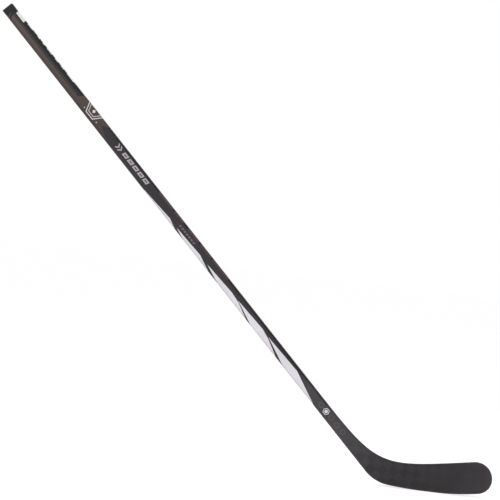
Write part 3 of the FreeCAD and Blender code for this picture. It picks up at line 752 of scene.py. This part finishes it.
# Spread tow: wide flat carbon tapes woven one over, one under, at 45 degrees to the ice. Where one
# direction lies on top the cloth looks light, where the other does it looks dark.
TAPE = 0.0194
TAPE_SHIFT = (0.004, -0.153)   # where the weave lies on the blade, in widths of a tape
spread_tow, given, put = new_effect(
    "spread_tow", [("Place", "Vector", None), ("Tape", "Float", TAPE)], ["Over", "Patch", "Fibre"])
rising = along_axis(spread_tow, given["Place"], Vector((1, 0, 1)).normalized())
falling = along_axis(spread_tow, given["Place"], Vector((1, 0, -1)).normalized())
tape_row = maths(spread_tow, "ADD", maths(spread_tow, "DIVIDE", rising, given["Tape"]), TAPE_SHIFT[0])
tape_column = maths(spread_tow, "ADD", maths(spread_tow, "DIVIDE", falling, given["Tape"]), TAPE_SHIFT[1])
row_wave = maths(spread_tow, "COSINE", maths(spread_tow, "MULTIPLY", tape_row, math.pi))
column_wave = maths(spread_tow, "COSINE", maths(spread_tow, "MULTIPLY", tape_column, math.pi))
over = add_node(spread_tow, "MapRange", {"Value": maths(spread_tow, "MULTIPLY", row_wave, column_wave),
                                         "From Min": -0.07, "From Max": 0.07},
                interpolation_type="SMOOTHSTEP").outputs["Result"]
patch_place = add_node(spread_tow, "CombineXYZ", {"X": maths(spread_tow, "ROUND", tape_row),
                                                  "Y": maths(spread_tow, "ROUND", tape_column)})
patch = add_node(spread_tow, "TexWhiteNoise", {"Vector": patch_place.outputs[0]}).outputs["Value"]
fibres = []
for fine, coarse in ((tape_row, tape_column), (tape_column, tape_row)):
    lines = add_node(spread_tow, "CombineXYZ", {"X": maths(spread_tow, "MULTIPLY", fine, 46.0),
                                                "Y": maths(spread_tow, "MULTIPLY", coarse, 1.6)})
    noise = add_node(spread_tow, "TexNoise", {"Vector": lines.outputs[0], "Scale": 1.0, "Detail": 3.0})
    fibres.append(noise.outputs["Fac"])
fibre = blended(spread_tow, over, *fibres)
spread_tow.links.new(over, put.inputs["Over"])
spread_tow.links.new(patch, put.inputs["Patch"])
spread_tow.links.new(fibre, put.inputs["Fibre"])

BLADE_DARK = tint(30, 26, 30)
BLADE_LIGHT = tint(58, 52, 56)
BLADE_WEAR_AND_HIGHLIGHT = tint(82, 75, 82)
WEAVE_FADES = (-0.07, 0.03)    # along X, the squares of the weave grow faint
WEAVE_ENDS = (0.07, 0.13)      # up the hosel, they all but vanish
HOSEL_PALES = (0.02, 0.12)     # up the hosel, the laminate grows paler
TOE_HIGHLIGHT = (0.05, 0.14)       # along X, the toe grows paler too, a painted highlight where the hooked face turns
SHADE_LINE_ACROSS = (0.014, 0.018)    # across the shaft, the painted shade line belongs to the upper edge only
SHADE_LINE_RISE = (0.028, 0.034)    # and on the blade, so it does above these heights
SHADE_LINE_FADES = (-0.03, 0.07)     # along X, the painted shade line dies out
blade_laminate, tree, shader, place = new_finish("blade_laminate", Specular_IOR_Level=0.42)
tow = effect(tree, spread_tow, Place=place)
coat = effect(tree, lacquer, Place=place, Dust=0.2)
near = add_node(tree, "Attribute", attribute_name="near_edge")
edge_patches = effect(tree, broken_edge, Place=place, Near_Edge=near.outputs["Fac"], Amount=0.4)
place_parts = add_node(tree, "SeparateXYZ", {0: place})
clear = ranged(tree, place_parts.outputs["X"], 0.8, 0.2, *WEAVE_FADES)
where = effect(tree, shaft_place, Place=place)
clear = maths(tree, "MULTIPLY", clear, ranged(tree, where["Height"], 0.62, 0.12, *WEAVE_ENDS))
varied = maths(tree, "MULTIPLY_ADD", tow["Patch"], 0.35, maths(tree, "MULTIPLY", tow["Over"], 0.65))
shown = maths(tree, "MULTIPLY_ADD", maths(tree, "SUBTRACT", varied, 0.45), clear, 0.45)
shown = maths(tree, "MULTIPLY_ADD", maths(tree, "SUBTRACT", tow["Fibre"], 0.5), 0.5, shown)
shown = maths(tree, "MULTIPLY_ADD", maths(tree, "SUBTRACT", coat["Uneven"], 0.5), 0.7, shown, clamp=True)
# Paler up the hosel, where the cloth is bare, and towards the toe, where the paleness is a painted
# highlight.
pale = maths(tree, "ADD", ranged(tree, where["Height"], 0.1, 1.0, *HOSEL_PALES),
             ranged(tree, place_parts.outputs["X"], 0.0, 0.4, *TOE_HIGHLIGHT))
colour = blended(tree, shown, BLADE_DARK, BLADE_LIGHT)
colour = blended(tree, pale, colour, blended(tree, shown, HOSEL_DARK, HOSEL_LIGHT))
# Painted shade: a dark line inside the rounded upper edge of hosel and blade, which fades out along the
# blade.
above = maths(tree, "MULTIPLY", ranged(tree, where["Across"], 0.0, 1.0, *SHADE_LINE_ACROSS),
              ranged(tree, place_parts.outputs["Z"], 0.0, 1.0, *SHADE_LINE_RISE))
above = maths(tree, "MULTIPLY", above, ranged(tree, place_parts.outputs["X"], 1.0, 0.0, *SHADE_LINE_FADES))
painted_shade_line = maths(tree, "MULTIPLY", ranged(tree, near.outputs["Fac"], 0.0, 1.0, 0.03, 0.15),
                 ranged(tree, near.outputs["Fac"], 0.9, 0.0, 0.3, 0.6))
colour = blended(tree, maths(tree, "MULTIPLY", painted_shade_line, above), colour, PAINTED_LINE_SHADE)
# Lighter broken edges: partly wear, partly a painted highlight where the rounded edges catch the light.
colour = blended(tree, edge_patches["Worn"], colour, BLADE_WEAR_AND_HIGHLIGHT)
colour = blended(tree, coat["Dust"], colour, tint(110, 104, 108))
surfaced(tree, shader, colour, shown, (0.5, 0.36),
         maths(tree, "MULTIPLY_ADD", tow["Fibre"], 1.5, coat["Peel"]))

forehand_skin = smooth_piece("forehand_skin", forehand_bm, blade_laminate)
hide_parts("blade_skin_front")
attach(forehand_skin, "root")
backhand_skin = smooth_piece("backhand_skin", backhand_bm, blade_laminate)
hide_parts("blade_skin_back")
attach(backhand_skin, "root")

# Rim band between the skins: chopped carbon fibre in epoxy, duller than the skins and scuffed along
# the bottom, where it meets the ice. Up the hosel it lies under the same bare cloth as the faces.
NEAR_ICE = (0.001, 0.008)
BARE_HOSEL = (0.06, 0.16)
rim_laminate, tree, shader, place = new_finish("rim_laminate", Specular_IOR_Level=0.38)
chips = add_node(tree, "TexVoronoi", {"Vector": place, "Scale": 380.0, "Randomness": 1.0})
chip_tone = add_node(tree, "SeparateColor", {"Color": chips.outputs["Color"]})
coat = effect(tree, lacquer, Place=place, Dust=0.3)
place_parts = add_node(tree, "SeparateXYZ", {0: place})
near_ice = ranged(tree, place_parts.outputs["Z"], 1.0, 0.0, *NEAR_ICE)
edge_patches = effect(tree, broken_edge, Place=place, Near_Edge=near_ice, Amount=0.38)
where = effect(tree, shaft_place, Place=place)
colour = blended(tree, chip_tone.outputs["Red"], tint(28, 25, 28), tint(52, 47, 52))
colour = blended(tree, ranged(tree, where["Height"], 0.0, 1.0, *BARE_HOSEL), colour,
                 blended(tree, coat["Uneven"], HOSEL_DARK, HOSEL_LIGHT))
colour = blended(tree, edge_patches["Worn"], colour, tint(92, 86, 90))
surfaced(tree, shader, colour, chip_tone.outputs["Red"], (0.46, 0.62),
         maths(tree, "ADD", coat["Peel"], chip_tone.outputs["Red"]))

rim = smooth_piece("rim_band", rim_bm, rim_laminate)
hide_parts("blade_rim")
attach(rim, "root")

# Bronze panel on the grip ---------------------------------------------
# Printed film in dark bronze ink with fine metal flake, inlaid over both wide faces and the lower
# edge of the grip; its tone drifts along the shaft and darkens towards the lower edge.
LOWER_SHADE = (0.001, 0.009)
BUTT_SHADE = (1.12, 1.3)
bronze_print, tree, shader, place = new_finish("bronze_print", Specular_IOR_Level=0.45)
where = effect(tree, shaft_place, Place=place)
flake = add_node(tree, "TexVoronoi", {"Vector": place, "Scale": 2600.0})
flake_tone = add_node(tree, "SeparateColor", {"Color": flake.outputs["Color"]})
coat = effect(tree, lacquer, Place=place, Dust=0.15)
lower = ranged(tree, where["Across"], 1.0, 0.0, *LOWER_SHADE)
colour = blended(tree, coat["Uneven"], tint(72, 63, 62), tint(96, 82, 78))
glint = maths(tree, "MULTIPLY", flake_tone.outputs["Red"], 0.35)
colour = blended(tree, glint, colour, tint(128, 112, 104))
colour = blended(tree, maths(tree, "MULTIPLY", lower, 0.6), colour, tint(46, 40, 42))
colour = blended(tree, ranged(tree, where["Height"], 0.35, 0.0, *BUTT_SHADE), colour, tint(56, 46, 46))
tree.links.new(ranged(tree, flake_tone.outputs["Red"], 0.0, 0.35), shader.inputs["Metallic"])
surfaced(tree, shader, colour, coat["Uneven"], (0.36, 0.5), coat["Peel"])
dress(bronze_print, "grip_panel")

# Hairline and mitre line at the butt ----------------------------------
# Thin line of warm grey ink along the grip over the bronze panel, and a short slanted one where the
# panel starts at the butt. Both are flat prints.
pale_line_print, tree, shader, place = new_finish("pale_line_print", Specular_IOR_Level=0.4)
coat = effect(tree, lacquer, Place=place, Dust=0.1)
colour = blended(tree, coat["Uneven"], tint(78, 70, 72), tint(98, 89, 91))
surfaced(tree, shader, colour, coat["Uneven"], (0.4, 0.5), coat["Peel"])
dress(pale_line_print, "grip_pinstripe")

# Paper sticker at the butt --------------------------------------------
# Blank white paper sticker, stuck on beside the cap and folded over the upper edge. Uncoated paper
# with fine fibres, quite matt.
label_paper, tree, shader, place = new_finish("label_paper", Specular_IOR_Level=0.2)
pulp = add_node(tree, "TexNoise", {"Vector": place, "Scale": 1800.0, "Detail": 6.0, "Roughness": 0.7})
coat = effect(tree, lacquer, Place=place, Dust=0.0)
colour = blended(tree, pulp.outputs["Fac"], tint(214, 210, 212), tint(244, 241, 244))
surfaced(tree, shader, colour, pulp.outputs["Fac"], (0.7, 0.9), pulp.outputs["Fac"], 0.00004)
dress(label_paper, "size_label")

# White prints ---------------------------------------------------------
# Screen-printed white ink: marks on the upper edge, six-sided badge, the long flames that climb
# from the lower edge and the badge on the hosel. Thin ink lets a little dark by.
white_print, tree, shader, place = new_finish("white_print", Specular_IOR_Level=0.4)
where = effect(tree, shaft_place, Place=place)
coat = effect(tree, lacquer, Place=place, Dust=0.0)
edge_patches = effect(tree, broken_edge, Place=place, Near_Edge=where["Near Edge"], Amount=0.34)
colour = blended(tree, coat["Uneven"], tint(218, 213, 220), tint(248, 245, 250))
colour = blended(tree, edge_patches["Worn"], colour, tint(150, 144, 150))
surfaced(tree, shader, colour, coat["Uneven"], (0.34, 0.46), coat["Peel"])
flames = ["white_stripe_%d" % number for number in range(1, 6)]
dress(white_print, "edge_ticks", "badge_rings", "hosel_badge", *flames)

# Leaning blocks -------------------------------------------------------
# Two chevrons and five slotted blocks on the forehand face, printed in one thin coat of white ink,
# so that the carbon under them greys them.
block_print, tree, shader, place = new_finish("block_print", Specular_IOR_Level=0.4)
coat = effect(tree, lacquer, Place=place, Dust=0.0)
weave = add_node(tree, "TexNoise", {"Vector": place, "Scale": 900.0, "Detail": 2.0})
colour = blended(tree, coat["Uneven"], tint(168, 162, 168), tint(196, 190, 196))
colour = blended(tree, ranged(tree, weave.outputs["Fac"], 0.0, 0.3, 0.45, 0.6), colour, tint(140, 134, 140))
surfaced(tree, shader, colour, coat["Uneven"], (0.36, 0.48), coat["Peel"])
dress(block_print, "side_blocks")

# Copper marks ---------------------------------------------------------
# Row of dashes in dull copper ink with fine metal flake, printed on the forehand face close under
# the upper edge.
copper_print, tree, shader, place = new_finish("copper_print", Specular_IOR_Level=0.4)
coat = effect(tree, lacquer, Place=place, Dust=0.1)
flake = add_node(tree, "TexVoronoi", {"Vector": place, "Scale": 2600.0})
flake_tone = add_node(tree, "SeparateColor", {"Color": flake.outputs["Color"]})
colour = blended(tree, flake_tone.outputs["Red"], tint(78, 60, 60), tint(108, 86, 84))
colour = blended(tree, maths(tree, "MULTIPLY", coat["Uneven"], 0.3), colour, tint(64, 52, 54))
tree.links.new(ranged(tree, flake_tone.outputs["Red"], 0.1, 0.4), shader.inputs["Metallic"])
surfaced(tree, shader, colour, coat["Uneven"], (0.38, 0.5), coat["Peel"])
dress(copper_print, "copper_edge_marks")

# Grey marks -----------------------------------------------------------
# Row of small dashes on the shaft and the outlined hexagons on the hosel, both in warm grey ink
# with a fine speckle.
grey_print, tree, shader, place = new_finish("grey_print", Specular_IOR_Level=0.4)
coat = effect(tree, lacquer, Place=place, Dust=0.1)
speckle = add_node(tree, "TexNoise", {"Vector": place, "Scale": 1200.0, "Detail": 3.0})
colour = blended(tree, speckle.outputs["Fac"], tint(96, 88, 90), tint(134, 124, 126))
surfaced(tree, shader, colour, coat["Uneven"], (0.4, 0.5), coat["Peel"])
dress(grey_print, "small_dashes", "hosel_outlines")

# Film inside the shaft ------------------------------------------------
# Inflated nylon bag that pressed the laminate out against the mould and stays in the bore: pale,
# wrinkled and slightly see-through.
liner_film, tree, shader, place = new_finish("liner_film", Specular_IOR_Level=0.5, Transmission_Weight=0.35,
                                             IOR=1.5)
wrinkle = add_node(tree, "TexNoise", {"Vector": place, "Scale": 160.0, "Detail": 4.0, "Distortion": 1.2})
colour = blended(tree, wrinkle.outputs["Fac"], tint(150, 162, 150), tint(196, 204, 190))
surfaced(tree, shader, colour, wrinkle.outputs["Fac"], (0.2, 0.4), wrinkle.outputs["Fac"], 0.0003)
dress(liner_film, "bladder_liner")

# Glue round the spigot ------------------------------------------------
# Film of hot-melt glue that fills the gap between the plug's spigot and the bore: milky amber, set
# in soft ripples.
hot_melt, tree, shader, place = new_finish("hot_melt", Specular_IOR_Level=0.5, Transmission_Weight=0.2)
ripple = add_node(tree, "TexNoise", {"Vector": place, "Scale": 260.0, "Detail": 2.0, "Distortion": 0.8})
colour = blended(tree, ripple.outputs["Fac"], tint(196, 170, 120), tint(224, 206, 164))
surfaced(tree, shader, colour, ripple.outputs["Fac"], (0.25, 0.45), ripple.outputs["Fac"], 0.0002)
dress(hot_melt, "cap_glue")

# Tenon, rib and their bond --------------------------------------------
# Bare carbon laminate of the stub that goes up the tube and of the bridge between the foam cores,
# as it comes from the mould, and the honey-coloured epoxy film round the stub.
bare_laminate, tree, shader, place = new_finish("tenon_laminate", Specular_IOR_Level=0.45)
streaks = effect(tree, fibre_streaks, Place=place, Direction=up_shaft, Length_Scale=20.0,
                 Width_Scale=1200.0)
coat = effect(tree, lacquer, Place=place, Dust=0.3)
colour = blended(tree, streaks["Streaks"], tint(26, 26, 28), tint(62, 62, 66))
surfaced(tree, shader, colour, streaks["Streaks"], (0.5, 0.66),
         maths(tree, "ADD", streaks["Streaks"], coat["Peel"]), 0.00002)
dress(bare_laminate, "blade_tenon", "blade_rib")

epoxy, tree, shader, place = new_finish("epoxy", Specular_IOR_Level=0.5, Transmission_Weight=0.3)
flow = add_node(tree, "TexNoise", {"Vector": place, "Scale": 180.0, "Detail": 2.0, "Distortion": 0.6})
colour = blended(tree, flow.outputs["Fac"], tint(150, 116, 60), tint(186, 150, 92))
surfaced(tree, shader, colour, flow.outputs["Fac"], (0.15, 0.35), flow.outputs["Fac"], 0.0001)
dress(epoxy, "tenon_bond")

# Foam cores -----------------------------------------------------------
# Closed-cell structural foam in the blade and in the stub: off-white, with fine open cells where
# it was cut and a slight skin where it was moulded.
core_foam, tree, shader, place = new_finish("core_foam", Specular_IOR_Level=0.25)
cells = add_node(tree, "TexVoronoi", {"Vector": place, "Scale": 1500.0})
mottled = add_node(tree, "TexNoise", {"Vector": place, "Scale": 90.0, "Detail": 3.0})
colour = blended(tree, mottled.outputs["Fac"], tint(214, 204, 180), tint(234, 226, 206))
# Painted shade: the open cells are darkened in their hollows.
painted_cell_shade = ranged(tree, cells.outputs["Distance"], 0.5, 0.0, 0.0, 0.35)
colour = blended(tree, painted_cell_shade, colour, tint(150, 138, 112))
surfaced(tree, shader, colour, mottled.outputs["Fac"], (0.75, 0.92), cells.outputs["Distance"], 0.0002)
dress(core_foam, "blade_core_lower", "blade_core_upper", "tenon_foam")
